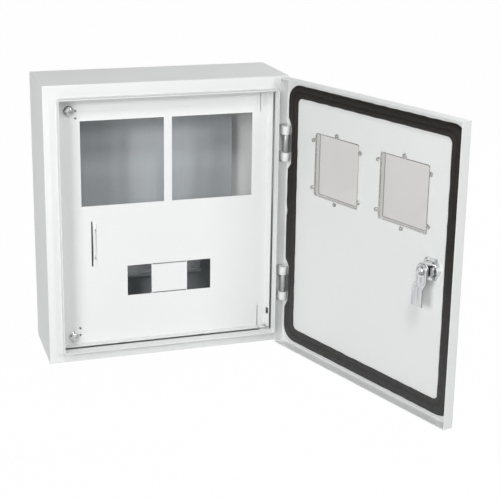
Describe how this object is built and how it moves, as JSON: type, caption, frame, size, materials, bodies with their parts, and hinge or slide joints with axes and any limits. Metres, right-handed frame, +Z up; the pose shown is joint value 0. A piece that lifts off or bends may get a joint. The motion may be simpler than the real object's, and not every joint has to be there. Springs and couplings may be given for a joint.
{
  "type": "electric meter box",
  "caption": "Wall-hung sheet-steel box for electricity meters: hinged outer door with clear windows and cam lock, sealable inner panel with meter cut-outs, mounting plate and device rail.",
  "frame": {"origin": "centre of the wall fixing holes, on the back face of the box", "axes": "+X to the right seen from the front, +Y into the wall, +Z up"},
  "size_m": [0.4587, 0.4592, 0.4025],
  "materials": {
    "painted_steel": "fine textured powder coat",
    "galvanised_steel": "plain galvanised sheet",
    "zinc_steel": "bright zinc plate",
    "brass": "turned",
    "chrome_plate": "polished",
    "foam_rubber": "foamed in place, matt",
    "plug_rubber": "moulded, matt",
    "clear_plastic": "clear"
  },
  "bodies": {
    "enclosure": {"enclosure_shell": "painted_steel", "entry_plugs": "plug_rubber", "mounting_plate": "galvanised_steel", "plate_studs": "zinc_steel", "plate_nuts": "zinc_steel", "din_rail": "zinc_steel", "rail_brackets": "galvanised_steel", "earth_stud": "zinc_steel", "earth_nut": "brass", "panel_pivot_brackets": "galvanised_steel", "panel_pivot_pins": "zinc_steel", "catch_brackets": "galvanised_steel", "hinge_lugs": "painted_steel", "hinge_pins": "zinc_steel"},
    "outer_door": {"door_skin": "painted_steel", "door_gasket": "foam_rubber", "left_window_pane": "clear_plastic", "right_window_pane": "clear_plastic", "hinge_barrels": "zinc_steel", "lock_body": "chrome_plate", "lock_nut": "chrome_plate"},
    "lock_cam": {"lock_plug": "chrome_plate", "cam_lever": "zinc_steel", "cam_screw": "zinc_steel"},
    "panel_leaf": {"inner_panel": "painted_steel"},
    "upper_screw": {"upper_sealing_screw": "chrome_plate"},
    "lower_screw": {"lower_sealing_screw": "chrome_plate"}
  },
  "joints": [
    {"name": "door_hinge", "type": "hinge", "parent": "enclosure", "child": "outer_door", "pos_m": [0.1675, -0.132, 0], "axis": [0, 0, 1], "range_deg": [-108.5, 11.5]},
    {"name": "lock_turn", "type": "hinge", "parent": "outer_door", "child": "lock_cam", "pos_m": [0.26723, -0.40707, 0], "axis": [0.9483, 0.3173, 0], "range_deg": [-90, 0]},
    {"name": "panel_hinge", "type": "hinge", "parent": "enclosure", "child": "panel_leaf", "pos_m": [0.146, -0.1095, 0], "axis": [0, 0, 1], "range_deg": [0, 90]},
    {"name": "upper_screw_turn", "type": "hinge", "parent": "panel_leaf", "child": "upper_screw", "pos_m": [-0.1377, -0.104, 0.162], "axis": [0, 1, 0], "continuous": true},
    {"name": "lower_screw_turn", "type": "hinge", "parent": "panel_leaf", "child": "lower_screw", "pos_m": [-0.1377, -0.104, -0.167], "axis": [0, 1, 0], "continuous": true}
  ]
}
